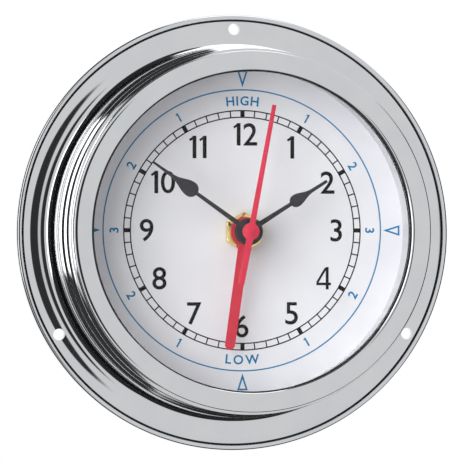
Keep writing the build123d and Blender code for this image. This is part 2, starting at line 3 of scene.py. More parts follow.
import bpy
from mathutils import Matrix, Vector


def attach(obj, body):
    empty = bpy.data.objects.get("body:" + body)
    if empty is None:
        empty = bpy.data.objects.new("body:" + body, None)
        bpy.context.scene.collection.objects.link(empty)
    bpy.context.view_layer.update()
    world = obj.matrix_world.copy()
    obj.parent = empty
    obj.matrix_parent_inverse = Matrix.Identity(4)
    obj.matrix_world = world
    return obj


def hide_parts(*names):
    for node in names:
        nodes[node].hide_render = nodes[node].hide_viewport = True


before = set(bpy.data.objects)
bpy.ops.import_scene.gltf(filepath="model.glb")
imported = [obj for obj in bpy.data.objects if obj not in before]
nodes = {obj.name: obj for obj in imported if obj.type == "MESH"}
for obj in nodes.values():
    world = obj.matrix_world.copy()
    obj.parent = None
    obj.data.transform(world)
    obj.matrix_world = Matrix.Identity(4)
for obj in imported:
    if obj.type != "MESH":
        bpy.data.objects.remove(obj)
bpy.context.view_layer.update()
scene = bpy.context.scene
scene.view_settings.view_transform = "Standard"

# Sizes are written in millimetres, as in the part's source; Blender works in metres
MM = 0.001

# Case, heights counted from the wall
FLANGE_R = 60.0
BACK_ROUND = 0.3
RIM_W = 1.32
RIM_H = 2.6
RIM_OUTER_ROUND = 0.55
RIM_INNER_ROUND = 0.14
GROOVE_R = 58.49
GROOVE_W = 0.38
GROOVE_FLOOR = 1.5
GROOVE_ROUND = 0.1
CROWN_EDGE_R = 58.15
CROWN_EDGE_H = 2.3
CROWN_FLAT_R = 54.35
CROWN_H = 2.95
CROWN_STEPS = 14
COVE_R = 53.7
COVE_RUN = 3.83
COVE_EASE = 1.7
COVE_STEPS = 18
DRUM_FOOT_R = 50.85
DRUM_TOP_R = 50.75
SHOULDER_Z = 13.95
SHOULDER_DROP = 0.22
NECK_R = 46.95
NECK_TOP_Z = 32.05
NECK_ROUND = 0.15
BORE_R = 45.6
LEDGE_Z = 16.4
LEDGE_IN = 43.0
LEDGE_ROUND = 0.3
ROOF_Z = 12.35
ROOF_ROUND = 0.8
RECESS_R = 48.45
SCREW_CIRCLE_R = 56.0
SCREW_HOLE_R = 1.6
SCREW_TOOL_LEN = 12.0

# Bezel; its lean is in degrees
BEZEL_LOW_Z = 14.15
BEZEL_BORE_R = 47.05
BEZEL_BORE_ROUND = 0.2
BEZEL_FOOT_ROUND = 0.3
BANDS = 3
BAND_R = 50.4
BAND_INSET = 0.6
BAND_H = 6.1
BAND_ROUND = 0.08
LAND_DROP = 0.32
FACE_EDGE_R = 48.45
FACE_Z = 36.13
FACE_TIGHT_R = 0.42
FACE_EASY_R = 3.0
FACE_LEAN = 16
FACE_STEPS = 8
LIP_R = 42.8
LIP_ROUND = 1.2
LIP_FOOT_ROUND = 0.1
GLASS_FRONT_Z = 34.45

# Turned rings: steps round the clock and in the arcs of an outline, short flats that hold a curve's shading
# off the face beside it, and the small play between rings that would otherwise meet
RING_STEPS = 432
ARC_STEPS = 12
SMALL_ARC_R = 0.5
SMALL_ARC_STEPS = 6
FLAT = 0.05
LIP_FLAT = 0.2
DRUM_LEAN = 0.005
PLAY = 0.05

# Points closer than these are merged
WELD = 0.001
BEZEL_WELD = 0.005

# Edges that turn by more than these, in degrees, stay sharp in the shading
SMOOTH_RING = 32
SMOOTH_GASKET = 40
SMOOTH_NUT = 25
SMOOTH_SWEEP = 30

# Sides of round pieces, tools and printed circles, and steps across a bevel
DISC_SIDES = 64
SCREW_TOOL_SIDES = 48
NUT_TOOL_SIDES = 96
LINE_SIDES = 240
BEVEL_STEPS = 2

# Rubber seat of the glass
GASKET_LIP_R = 42.95
GASKET_LOW_Z = 32.07
GASKET_THIN = 0.02
GASKET_LIP_ROUND = 0.16
GASKET_ROUND = 0.1
GASKET_STEPS = 256
GLASS_BACK_Z = 32.65

# Nut on the movement's bushing
NUT_FLATS = 9.4
NUT_LOW_Z = 17.5
NUT_H = 2.6
NUT_CHAMFER = 0.45
NUT_TOOL_SHARE = 0.99
NUT_TOOL_OVER = 0.04
BUSHING_R = 4.0

# Seconds hand; its turn from twelve and the angle of the edges that wear are in degrees
SWEEP_Z = 31.3
SWEEP_THICK = 0.35
SWEEP_LEN = 34.6
SWEEP_ROOT_W = 1.55
SWEEP_TIP_W = 1.1
SWEEP_TAIL_LEN = 14.4
SWEEP_TAIL_ROOT_W = 1.9
SWEEP_TAIL_END_W = 1.65
SWEEP_TAIL_LAP = 0.5
SWEEP_HUB_R = 2.3
SWEEP_CAP_R = 1.1
SWEEP_CAP_H = 0.3
SWEEP_WEAR = 0.07
SWEEP_WEAR_ANGLE = 40
SWEEP_TURN = 10.6
ARBOR_R = 0.5
COLLET_WALL = 0.5
COLLET_H = 0.8

# Dial print; numerals stand a little aside from their circle, and a few of them more than the others
DIAL_Z = 17.0
INK = 0.03
PRINT_RISE = 0.45
TEXT_DEPTH = 0.02
GLYPH_STEPS = 6
NUMERAL_R = 26.1
NUMERAL_H = 6.1
NUMERAL_GAP = 0.75
NUMERAL_WEIGHT = 0.008
SINGLE_SHIFT = -0.2
DOUBLE_SHIFT = 0.75
NUDGED = {1: 0.2, 2: 0.9, 5: 0.5}
TRACK_IN_R = 30.75
TRACK_OUT_R = 32.55
TRACK_LINE = 0.33
HOUR_BLOCK_W = 1.15
TIDE_SCALE_R = 35.2
TIDE_SCALE_H = 2.55
TIDE_SCALE_WEIGHT = 0.02
LETTER_GAP = 0.6
TIDE_CIRCLE_R = 38.2
TIDE_LINE = 0.34
POINTER_TIP_R = 38.9
POINTER_BASE_R = 43.5
POINTER_W = 2.9
POINTER_LINE = 0.45

# Figures made of straight blocks, in shares of their height: width, height, x and y, then a turn in degrees.
# The 1 is a stem with a slanting flag at its top left, the 4 a stem, a crossbar and a slope, open inside
BLOCK_FIGURE_SHARES = {
    "1": ((0.17, 1.0, 0.0, 0.0, 0), (0.26, 0.105, -0.115, 0.375, 36)),
    "4": ((0.13, 1.0, 0.15, 0.0, 0), (0.66, 0.115, -0.01, -0.255, 0), (0.76, 0.1, -0.11, 0.125, 59)),
}

# Noise in the finishes: its detail, and the stretch of its range that is used
PATCH_DETAIL = 3.0
PATCH_RANGE = (0.35, 0.65)
GRIT_DETAIL = 4.0
GRIT_RANGE = (0.3, 0.7)

# Painted shade on the plate at the groove and at the corner where the lip meets the glass: the distances
# between which it fades out
GROOVE_PAINTED_SHADE = (0.14, 0.26)
LIP_PAINTED_SHADE = (0.36, 0.48)

# The cell lies along x, from its flat end to the tip of its nub, and the film stops short of the nub
CELL_FLAT_X = -24.0
CELL_NUB_X = 26.5
CELL_FILM_SHARE = 0.978

# Rows of wire on the coil, and the radians that a wave texture runs through in one unit
WIRE_ROW = 1.885
WAVE_RADIANS = 20

# Camera, room and floor, in degrees and metres
CAMERA_AZIMUTH = -9.0
CAMERA_ELEVATION = -0.5
CAMERA_DISTANCE = 1.1
LENS = 308.3
SENSOR = 36.0
FAR_CLIP = 20.0
ROOM_LIGHT = 0.61
FLOOR_SIZE = 6.0
FLOOR_DROP = 1.6
FLOOR_GLOW = 0.97

# Share of a dark card that is solid, before its edge fades
CARD_SOLID_SHARE = 0.84


# Modelling helpers

def deselect():
    bpy.ops.object.select_all(action="DESELECT")


def alone(piece):
    """Makes one object the only selected and active one."""
    deselect()
    piece.select_set(True)
    bpy.context.view_layer.objects.active = piece


def started(name):
    """Names the object that an operator has just added and leaves it alone in the selection."""
    piece = bpy.context.object
    piece.name = name
    piece.data.name = name
    alone(piece)
    return piece


def edit(piece):
    """Opens a piece in edit mode with everything selected."""
    alone(piece)
    bpy.ops.object.mode_set(mode="EDIT")
    bpy.ops.mesh.select_all(action="SELECT")


def done():
    bpy.ops.object.mode_set(mode="OBJECT")


def apply_place(piece):
    """Moves an object's place, turn and scale into its mesh."""
    alone(piece)
    bpy.ops.object.transform_apply(location=True, rotation=True, scale=True)


def smooth(piece, degrees):
    alone(piece)
    bpy.ops.object.shade_smooth_by_angle(angle=math.radians(degrees))


def carve(piece, tool, operation):
    """Applies a Boolean with another object, which is then removed."""
    alone(piece)
    modifier = piece.modifiers.new("carve", "BOOLEAN")
    modifier.operation = operation
    modifier.solver = "EXACT"
    modifier.object = tool
    bpy.ops.object.modifier_apply(modifier=modifier.name)
    bpy.data.objects.remove(tool)


def copied(piece):
    """A copy with a mesh of its own."""
    twin = piece.copy()
    twin.data = piece.data.copy()
    bpy.context.collection.objects.link(twin)
    return twin


def joined(name, parts):
    """Joins several objects into one piece."""
    deselect()
    for part in parts:
        part.select_set(True)
    bpy.context.view_layer.objects.active = parts[0]
    if len(parts) > 1:
        bpy.ops.object.join()
    return started(name)


def eased(corners):
    """Closed outline from (radius, height, rounding) corners, each rounding drawn as a short arc."""
    outline = []
    for index, (radius, height, rounding) in enumerate(corners):
        corner = Vector((radius, height))
        if rounding == 0:
            outline.append(corner)
            continue
        before = (Vector(corners[index - 1][:2]) - corner).normalized()
        after = (Vector(corners[(index + 1) % len(corners)][:2]) - corner).normalized()
        half = before.angle(after) / 2
        reach = rounding / math.tan(half)
        middle = corner + (before + after).normalized() * rounding / math.sin(half)
        first = corner + before * reach - middle
        last = corner + after * reach - middle
        start = math.atan2(first.y, first.x)
        sweep = math.atan2(last.y, last.x) - start
        sweep = (sweep + math.pi) % (2 * math.pi) - math.pi
        arc_steps = ARC_STEPS if rounding > SMALL_ARC_R else SMALL_ARC_STEPS
        for step in range(arc_steps + 1):
            angle = start + sweep * step / arc_steps
            outline.append(middle + Vector((math.cos(angle), math.sin(angle))) * rounding)
    return outline


def welded(reach=WELD):
    """Merges the doubles of the mesh in edit mode."""
    bpy.ops.mesh.select_all(action="SELECT")
    bpy.ops.mesh.remove_doubles(threshold=reach * MM)


def turned(name, outline, steps):
    """Draws an outline of (radius, height) points edge by edge and spins it about the clock's axis."""
    deselect()
    bpy.ops.mesh.primitive_plane_add(size=MM)
    piece = started(name)
    edit(piece)
    bpy.ops.mesh.merge(type="CENTER")
    bpy.ops.transform.translate(value=(outline[0].x * MM, -outline[0].y * MM, 0))
    for here, there in zip(outline, outline[1:] + outline[:1]):
        move = (there - here) * MM
        bpy.ops.mesh.extrude_region_move(TRANSFORM_OT_translate={"value": (move.x, -move.y, 0)})
    welded()
    bpy.ops.mesh.spin(steps=steps, angle=2 * math.pi, center=(0, 0, 0), axis=(0, 1, 0))
    welded()
    bpy.ops.mesh.normals_make_consistent(inside=False)
    done()
    return piece


def on_dial(piece, height=DIAL_Z):
    """Stands a print drawn flat, x right and y up, onto the dial's front."""
    piece.rotation_euler = (math.pi / 2, 0, 0)
    piece.location = (0, -height * MM, 0)
    apply_place(piece)


def clock_turn(piece, degrees):
    """Turns a flat drawing clockwise about the dial's middle."""
    piece.rotation_euler = (0, 0, -math.radians(degrees))
    apply_place(piece)


# Materials

def linear(code):
    """Linear colour from an sRGB hex value."""
    values = [int(code[i:i + 2], 16) / 255 for i in (1, 3, 5)]
    return [v / 12.92 if v <= 0.04045 else ((v + 0.055) / 1.055) ** 2.4 for v in values] + [1.0]


def per_mm(size):
    """Texture scale whose pattern repeats about every so many millimetres."""
    return 1 / (size * MM)


def add(tree, kind, inputs=None, **settings):
    """Adds a node, sets its properties, and sets or links its inputs."""
    node = tree.nodes.new(kind)
    for name, value in settings.items():
        setattr(node, name, value)
    for name, value in (inputs or {}).items():
        if isinstance(value, bpy.types.NodeSocket):
            tree.links.new(value, node.inputs[name])
        else:
            node.inputs[name].default_value = value
    return node


def material(name):
    """An empty material and its tree."""
    made = bpy.data.materials.new(name)
    made.use_nodes = True
    made.node_tree.nodes.clear()
    return made, made.node_tree


def mottled(tree, pale, dark, size):
    """Colour that drifts between two shades over patches of a given size."""
    coords = add(tree, "ShaderNodeTexCoord")
    noise = add(tree, "ShaderNodeTexNoise", {"Vector": coords.outputs["Object"], "Scale": per_mm(size),
                                             "Detail": PATCH_DETAIL})
    ramp = add(tree, "ShaderNodeValToRGB", {"Fac": noise.outputs["Fac"]})
    ramp.color_ramp.elements[0].position = PATCH_RANGE[0]
    ramp.color_ramp.elements[0].color = linear(dark)
    ramp.color_ramp.elements[1].position = PATCH_RANGE[1]
    ramp.color_ramp.elements[1].color = linear(pale)
    return coords, ramp.outputs["Color"]


def grain(tree, coords, size, low, high):
    """Roughness that varies with a fine noise."""
    noise = add(tree, "ShaderNodeTexNoise", {"Vector": coords.outputs["Object"], "Scale": per_mm(size),
                                             "Detail": GRIT_DETAIL})
    span = add(tree, "ShaderNodeMapRange", {"Value": noise.outputs["Fac"], "From Min": GRIT_RANGE[0],
                                            "From Max": GRIT_RANGE[1], "To Min": low, "To Max": high})
    return noise, span.outputs["Result"]


def raised(tree, height, depth):
    """Normal of a relief whose height runs through a depth in millimetres."""
    bump = add(tree, "ShaderNodeBump", {"Height": height, "Strength": 1.0, "Distance": depth * MM})
    return bump.outputs["Normal"]


def seen_rays(tree):
    """1 for rays from the camera and for those that metal and glass send on, otherwise 0."""
    path = add(tree, "ShaderNodeLightPath")
    seen = path.outputs["Is Camera Ray"]
    for ray in ("Is Glossy Ray", "Is Transmission Ray"):
        seen = add(tree, "ShaderNodeMath", {0: seen, 1: path.outputs[ray]}, operation="MAXIMUM").outputs[0]
    return seen


def surfaced(name, pale, dark, patch, grit, rough, bump=0.0, **sockets):
    """Finish with drifting colour, grainy roughness and an optional fine relief, sizes in millimetres."""
    made, tree = material(name)
    coords, colour = mottled(tree, pale, dark, patch)
    noise, roughness = grain(tree, coords, grit, rough[0], rough[1])
    inputs = {"Base Color": colour, "Roughness": roughness}
    if bump:
        inputs["Normal"] = raised(tree, noise.outputs["Fac"], bump)
    shader = add(tree, "ShaderNodeBsdfPrincipled", inputs)
    for socket, value in sockets.items():
        shader.inputs[socket.replace("_", " ")].default_value = value
    add(tree, "ShaderNodeOutputMaterial", {"Surface": shader.outputs["BSDF"]})
    return made


# Bright chromium over polished brass: a hard grey mirror with the faintest waviness of buffing. In the groove
# beside the rim and in the corner where the lip meets the glass the plate is painted a dark, dull non-metal
# colour: painted shade that stands in for the shade and dark reflections there
chrome, tree = material("polished_chromium_plate")
coords, bright = mottled(tree, "#C8CACC", "#C4C6C9", 9.0)
noise, buffed = grain(tree, coords, 1.6, 0.03, 0.06)
# Painted shade: by radius, the plate turns dark and not metal about the groove and just outside the lip
across = add(tree, "ShaderNodeVectorMath", {0: coords.outputs["Object"], 1: (1, 0, 1)}, operation="MULTIPLY")
radius = add(tree, "ShaderNodeVectorMath", {0: across.outputs["Vector"]}, operation="LENGTH")
away = add(tree, "ShaderNodeMath", {0: radius.outputs["Value"], 1: GROOVE_R * MM}, operation="SUBTRACT")
away = add(tree, "ShaderNodeMath", {0: away.outputs[0]}, operation="ABSOLUTE")
unshaded = add(tree, "ShaderNodeMapRange", {
    "Value": away.outputs[0], "From Min": GROOVE_PAINTED_SHADE[0] * MM,
    "From Max": GROOVE_PAINTED_SHADE[1] * MM}, interpolation_type="SMOOTHSTEP")
inside = add(tree, "ShaderNodeMapRange", {
    "Value": radius.outputs["Value"], "From Min": (LIP_R + LIP_PAINTED_SHADE[0]) * MM,
    "From Max": (LIP_R + LIP_PAINTED_SHADE[1]) * MM}, interpolation_type="SMOOTHSTEP")
unshaded = add(tree, "ShaderNodeMath", {0: unshaded.outputs["Result"], 1: inside.outputs["Result"]},
              operation="MINIMUM")
colour = add(tree, "ShaderNodeMix", {"Factor": unshaded.outputs[0]}, data_type="RGBA")
colour.inputs["A"].default_value = linear("#1E1D1E")
tree.links.new(bright, colour.inputs["B"])
shader = add(tree, "ShaderNodeBsdfPrincipled", {
    "Base Color": colour.outputs["Result"], "Roughness": buffed, "Metallic": unshaded.outputs[0],
    "Normal": raised(tree, noise.outputs["Fac"], 0.0004), "Specular IOR Level": 0.1})
add(tree, "ShaderNodeOutputMaterial", {"Surface": shader.outputs["BSDF"]})

# Float glass: clear, seen only by a weak reflection; shadow and diffuse rays pass so that the dial is lit
glass, tree = material("float_glass")
coords = add(tree, "ShaderNodeTexCoord")
haze = grain(tree, coords, 4.0, 0.0, 0.015)[1]
pane = add(tree, "ShaderNodeBsdfPrincipled", {"Base Color": linear("#FCFCFC"), "Roughness": haze, "IOR": 1.2,
                                              "Transmission Weight": 1.0})
clear = add(tree, "ShaderNodeBsdfTransparent", {"Color": linear("#FAFAFA")})
path = add(tree, "ShaderNodeLightPath")
passing = add(tree, "ShaderNodeMath", {0: path.outputs["Is Shadow Ray"], 1: path.outputs["Is Diffuse Ray"]},
              operation="MAXIMUM")
mix = add(tree, "ShaderNodeMixShader", {0: passing.outputs[0], 1: pane.outputs["BSDF"],
                                        2: clear.outputs["BSDF"]})
add(tree, "ShaderNodeOutputMaterial", {"Surface": mix.outputs["Shader"]})

# Nitrile rubber: dull black with a moulded bloom
rubber = surfaced("nitrile_rubber", "#1C1C1D", "#131314", 3.0, 0.3, (0.6, 0.8), bump=0.01)
# Pale grey polystyrene: satin moulding, a little uneven in gloss
grey_moulding = surfaced("pale_grey_polystyrene", "#CACACE", "#C2C2C7", 7.0, 0.5, (0.35, 0.5), bump=0.002)
# Stoved white enamel on aluminium: satin, cool, with a barely seen cloudiness
dial_paint = surfaced("stoved_white_enamel", "#ECEDF0", "#E6E7EB", 14.0, 0.4, (0.42, 0.55), bump=0.001)
# Screen-printed black ink: thin, slightly uneven film, matt and so deep in tone under the white room
black_ink = surfaced("black_screen_ink", "#0C0C0E", "#070708", 1.2, 0.2, (0.5, 0.65), Specular_IOR_Level=0.12)
# Screen-printed blue ink: as matt as the black
blue_ink = surfaced("blue_screen_ink", "#007EB0", "#0074A4", 1.2, 0.2, (0.5, 0.65), Specular_IOR_Level=0.12)
# Turned brass: warm yellow mirror with fine tool marks
brass = surfaced("turned_brass", "#E6CC8C", "#D6B672", 1.5, 0.25, (0.08, 0.18), bump=0.003, Metallic=1.0)
# Sprayed satin black on stamped aluminium: soft sheen, a charcoal rather than a black
black_paint = surfaced("satin_black_paint", "#2B2A2E", "#242327", 2.0, 0.15, (0.38, 0.5), bump=0.0015,
                       Specular_IOR_Level=0.28)
# Sprayed red on stamped aluminium: soft sheen, the tide hand a shade deeper than the seconds hand
tide_paint = surfaced("deep_red_paint", "#C9283F", "#BE2239", 2.0, 0.15, (0.36, 0.5), bump=0.0015)
second_paint = surfaced("signal_red_paint", "#CF2646", "#C62040", 2.0, 0.15, (0.34, 0.46), bump=0.0015)
# Moulded black ABS with a spark-eroded grain
housing_abs = surfaced("moulded_black_abs", "#232325", "#1A1A1C", 3.0, 0.35, (0.45, 0.65), bump=0.015)
# Natural acetal: milky, waxy gloss
acetal = surfaced("natural_acetal", "#EDE8DA", "#E2DCCB", 4.0, 0.4, (0.28, 0.42), bump=0.002,
                  Subsurface_Weight=0.08)
# Sintered ferrite magnet: dark, granular
ferrite = surfaced("sintered_ferrite", "#3A3A3D", "#29292B", 0.6, 0.15, (0.5, 0.75), bump=0.006)
# Stamped silicon steel: grey, faint rolling streaks
silicon_steel = surfaced("stamped_silicon_steel", "#9A9B9D", "#838486", 2.5, 0.2, (0.3, 0.45), bump=0.002,
                         Metallic=1.0)
# Drawn steel can, nickel plated: a clean satin mirror
drawn_can = surfaced("nickelled_steel_can", "#B9BABC", "#A8A9AB", 2.0, 0.2, (0.18, 0.3), bump=0.001,
                     Metallic=1.0)
# Spring steel strip, nickel plated: a warmer satin mirror
spring_steel = surfaced("nickelled_spring_steel", "#C3C2BE", "#AFAEAA", 2.0, 0.2, (0.2, 0.34), bump=0.002,
                        Metallic=1.0)
# Glass-fibre board under green solder resist: glossy, with a woven unevenness
board_resist = surfaced("green_solder_resist", "#1E6B41", "#185A37", 1.0, 0.4, (0.25, 0.4), bump=0.004)

# Enamelled copper winding: rows of fine wire across the bobbin, drawn nearly 2 mm apart so that they show
winding, tree = material("enamelled_copper_winding")
coords, colour = mottled(tree, "#B7693A", "#9C5229", 1.5)
rows = 2 * math.pi * per_mm(WIRE_ROW) / WAVE_RADIANS
turns = add(tree, "ShaderNodeTexWave", {"Vector": coords.outputs["Object"], "Scale": rows, "Distortion": 0.4},
            wave_type="BANDS", bands_direction="X")
rough = grain(tree, coords, 0.4, 0.25, 0.4)[1]
shader = add(tree, "ShaderNodeBsdfPrincipled", {"Base Color": colour, "Roughness": rough, "Metallic": 0.85,
                                                "Normal": raised(tree, turns.outputs["Fac"], 0.06)})
add(tree, "ShaderNodeOutputMaterial", {"Surface": shader.outputs["BSDF"]})

# Heat-shrunk film on the cell: one plain grey-blue, glossy over the steel can, which stays bare at the nub
sleeve, tree = material("shrunk_film_sleeve")
coords = add(tree, "ShaderNodeTexCoord")
axes = add(tree, "ShaderNodeSeparateXYZ", {"Vector": coords.outputs["Object"]})
along = add(tree, "ShaderNodeMapRange", {"Value": axes.outputs["X"], "From Min": CELL_FLAT_X * MM,
                                         "From Max": CELL_NUB_X * MM})
film = add(tree, "ShaderNodeValToRGB", {"Fac": along.outputs["Result"]})
film.color_ramp.interpolation = "CONSTANT"
film.color_ramp.elements[0].color = linear("#6A7883")
film.color_ramp.elements[1].position = CELL_FILM_SHARE
film.color_ramp.elements[1].color = linear("#B9BABC")
noise, rough = grain(tree, coords, 0.5, 0.22, 0.34)
shader = add(tree, "ShaderNodeBsdfPrincipled", {"Base Color": film.outputs["Color"], "Roughness": rough,
                                                "Metallic": 0.35,
                                                "Normal": raised(tree, noise.outputs["Fac"], 0.004)})
add(tree, "ShaderNodeOutputMaterial", {"Surface": shader.outputs["BSDF"]})

# Finish of every node that the scene keeps from the CAD
finishes = {
    "front_glass": glass,
    "dial_spacer": grey_moulding,
    "dial_plate": dial_paint,
    "movement_washer": rubber,
    "nut_washer": brass,
    "threaded_bushing": brass,
    "tide_hand": tide_paint,
    "hour_hand": black_paint,
    "minute_hand": black_paint,
    "movement_shell": housing_abs,
    "movement_cover": housing_abs,
    "rotor": ferrite,
    "intermediate_wheel": acetal,
    "second_wheel": acetal,
    "third_wheel": acetal,
    "centre_wheel": acetal,
    "minute_pipe": brass,
    "motion_wheel": acetal,
    "hour_wheel": acetal,
    "tide_wheel": acetal,
    "setting_knob": acetal,
    "stator": silicon_steel,
    "coil_core": silicon_steel,
    "coil": winding,
    "circuit_board": board_resist,
    "quartz_crystal": drawn_can,
    "battery": sleeve,
    "contact_plus": spring_steel,
    "contact_minus": spring_steel,
}


def finish_with(piece, made):
    """Gives a piece one finish all over."""
    piece.data.materials.clear()
    piece.data.materials.append(made)


for name, made in finishes.items():
    finish_with(nodes[name], made)


# Case: flange with rim, groove and crown, cove, drum, neck and dial ledge

def case_outline():
    rim_in = FLANGE_R - RIM_W
    corners = [
        (RECESS_R, 0, BACK_ROUND),
        (FLANGE_R, 0, BACK_ROUND),
        (FLANGE_R, RIM_H, RIM_OUTER_ROUND),
        (rim_in, RIM_H, RIM_INNER_ROUND),
        (rim_in, GROOVE_FLOOR, GROOVE_ROUND),
        (rim_in - GROOVE_W, GROOVE_FLOOR, GROOVE_ROUND),
    ]
    for step in range(CROWN_STEPS + 1):
        share = 1 - step / CROWN_STEPS
        radius = CROWN_FLAT_R + (CROWN_EDGE_R - CROWN_FLAT_R) * share
        corners.append((radius, CROWN_H - (CROWN_H - CROWN_EDGE_H) * share ** 2, 0))
    corners.append((CROWN_FLAT_R - FLAT, CROWN_H, 0))
    corners.append((COVE_R + FLAT, CROWN_H, 0))
    # The cove steepens slowly at first, so that the flat of the flange runs into it without a line
    radius, height = COVE_R, CROWN_H
    corners.append((radius, height, 0))
    for step in range(COVE_STEPS):
        angle = math.radians(90) * ((step + 0.5) / COVE_STEPS) ** COVE_EASE
        radius -= math.cos(angle) * COVE_RUN / COVE_STEPS
        height += math.sin(angle) * COVE_RUN / COVE_STEPS
        corners.append((radius, height, 0))
    return eased(corners + [
        (DRUM_FOOT_R - DRUM_LEAN, height + FLAT, 0),
        (DRUM_TOP_R, SHOULDER_Z - SHOULDER_DROP, BAND_ROUND),
        (BAND_R - PLAY, SHOULDER_Z, 0),
        (NECK_R, SHOULDER_Z, 0),
        (NECK_R, NECK_TOP_Z, NECK_ROUND),
        (BORE_R, NECK_TOP_Z, NECK_ROUND),
        (BORE_R, LEDGE_Z, 0),
        (LEDGE_IN, LEDGE_Z, LEDGE_ROUND),
        (LEDGE_IN, ROOF_Z, LEDGE_ROUND),
        (RECESS_R, ROOF_Z, ROOF_ROUND),
    ])


case = turned("plated_case", case_outline(), RING_STEPS)
for index in range(3):
    angle = math.radians(90 + 120 * index)
    deselect()
    bpy.ops.mesh.primitive_cylinder_add(
        vertices=SCREW_TOOL_SIDES, radius=SCREW_HOLE_R * MM, depth=SCREW_TOOL_LEN * MM,
        rotation=(math.pi / 2, 0, 0),
        location=(SCREW_CIRCLE_R * MM * math.cos(angle), 0, SCREW_CIRCLE_R * MM * math.sin(angle)))
    carve(case, started("hole_tool"), "DIFFERENCE")
smooth(case, SMOOTH_RING)
finish_with(case, chrome)
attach(case, "base")
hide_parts("case_body")


# Bezel: three stepped bands, rolled face edge, flat face and inner lip

def bezel_outline():
    corners = [(BEZEL_BORE_R, BEZEL_LOW_Z, BEZEL_BORE_ROUND)]
    for index in range(BANDS):
        radius = BAND_R - BAND_INSET * index
        low = BEZEL_LOW_Z + BAND_H * index
        corners.append((radius, low, BEZEL_FOOT_ROUND if index == 0 else 0))
        corners.append((radius, low + BAND_H - LAND_DROP, BAND_ROUND))
    corners.append((FACE_EDGE_R, BEZEL_LOW_Z + BANDS * BAND_H, 0))
    # The face rolls over in two arcs, a tight one at the edge and an easy one that runs out into the flat
    lean = math.radians(FACE_LEAN)
    inset = FACE_EASY_R - FACE_TIGHT_R
    tight = Vector((FACE_EDGE_R - FACE_TIGHT_R, FACE_Z - FACE_EASY_R + inset * math.cos(lean)))
    easy = tight - Vector((math.sin(lean), math.cos(lean))) * inset
    arcs = ((tight, FACE_TIGHT_R, 90, FACE_LEAN), (easy, FACE_EASY_R, FACE_LEAN, 0))
    for middle, radius, first, last in arcs:
        for step in range(FACE_STEPS + 1):
            angle = math.radians(first + (last - first) * step / FACE_STEPS)
            point = middle + Vector((math.sin(angle), math.cos(angle))) * radius
            corners.append((point.x, point.y, 0))
    return eased(corners + [
        (easy.x - FLAT, FACE_Z, 0),
        (LIP_R + LIP_ROUND + LIP_FLAT, FACE_Z, 0),
        (LIP_R, FACE_Z, LIP_ROUND),
        (LIP_R, GLASS_FRONT_Z, LIP_FOOT_ROUND),
        (BEZEL_BORE_R, GLASS_FRONT_Z, 0),
    ])


bezel = turned("plated_bezel", bezel_outline(), RING_STEPS)
edit(bezel)
welded(BEZEL_WELD)
done()
smooth(bezel, SMOOTH_RING)
finish_with(bezel, chrome)
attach(bezel, "bezel")
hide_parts("bezel_ring")


# Rubber seat of the glass, with a soft lip that reaches in as far as the bezel's own. The black of this lip,
# seen
# # behind the glass inside the bezel's lip, is a painted reflection: it stands in for the dark reflection of
# the lip's
# # inner wall, which is deeper on the clock itself

def gasket_outline():
    return eased([
        (GASKET_LIP_R, GASKET_LOW_Z + GASKET_THIN, GASKET_LIP_ROUND),
        (NECK_R - PLAY, GASKET_LOW_Z, GASKET_ROUND),
        (NECK_R - PLAY, GLASS_BACK_Z, GASKET_ROUND),
        (GASKET_LIP_R, GLASS_BACK_Z - GASKET_THIN, GASKET_LIP_ROUND),
    ])


gasket = turned("rubber_gasket", gasket_outline(), GASKET_STEPS)
smooth(gasket, SMOOTH_GASKET)
finish_with(gasket, rubber)
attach(gasket, "glass_pane")
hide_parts("glass_gasket")


# Brass nut with chamfered corners

def disc(name, radius, low, high, sides=DISC_SIDES):
    """Round boss about the axis, or a prism with few sides."""
    deselect()
    bpy.ops.mesh.primitive_cylinder_add(vertices=sides, radius=radius * MM, depth=(high - low) * MM,
                                        location=(0, 0, (low + high) / 2 * MM))
    boss = started(name)
    apply_place(boss)
    return boss


def select_where(piece, mode, chosen):
    """Selects the edges or vertices of a piece that a test picks, and stays in edit mode."""
    edit(piece)
    bpy.ops.mesh.select_mode(type=mode)
    bpy.ops.mesh.select_all(action="DESELECT")
    done()
    for element in piece.data.edges if mode == "EDGE" else piece.data.vertices:
        element.select = chosen(element)
    bpy.ops.object.mode_set(mode="EDIT")


def brass_nut():
    corner_r = NUT_FLATS / 2 / math.cos(math.radians(30))
    middle = NUT_H / 2
    nut = disc("brass_nut", corner_r, 0, NUT_H, sides=6)
    dome = disc("chamfer_tool", NUT_TOOL_SHARE * corner_r, -NUT_TOOL_OVER / 2, NUT_H + NUT_TOOL_OVER / 2,
                sides=NUT_TOOL_SIDES)

    def round_the_end(edge):
        first, second = (dome.data.vertices[v].co.z - middle * MM for v in edge.vertices)
        return first * second > 0

    select_where(dome, "EDGE", round_the_end)
    bpy.ops.mesh.bevel(offset=NUT_CHAMFER * MM, segments=BEVEL_STEPS, affect="EDGES")
    done()
    carve(nut, dome, "INTERSECT")
    carve(nut, disc("bore_tool", BUSHING_R, -NUT_H, 2 * NUT_H), "DIFFERENCE")
    on_dial(nut, NUT_LOW_Z)
    smooth(nut, SMOOTH_NUT)
    return nut


nut = brass_nut()
finish_with(nut, brass)
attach(nut, "base")
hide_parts("hex_nut")


# Sweep seconds hand, stamped from strip: a long needle, a narrow tail, a hub and a small cap over its arbor

def tapered(name, low_w, high_w, low, high):
    """Flat bar along y that changes evenly from one width to another."""
    middle = (low + high) / 2 * MM
    deselect()
    bpy.ops.mesh.primitive_cube_add(size=1, location=(0, middle, SWEEP_THICK / 2 * MM))
    bar = started(name)
    bar.scale = (low_w * MM, (high - low) * MM, SWEEP_THICK * MM)
    apply_place(bar)
    select_where(bar, "VERT", lambda corner: corner.co.y > middle)
    bpy.ops.transform.resize(value=(high_w / low_w, 1, 1), center_override=(0, high * MM, 0))
    done()
    return bar


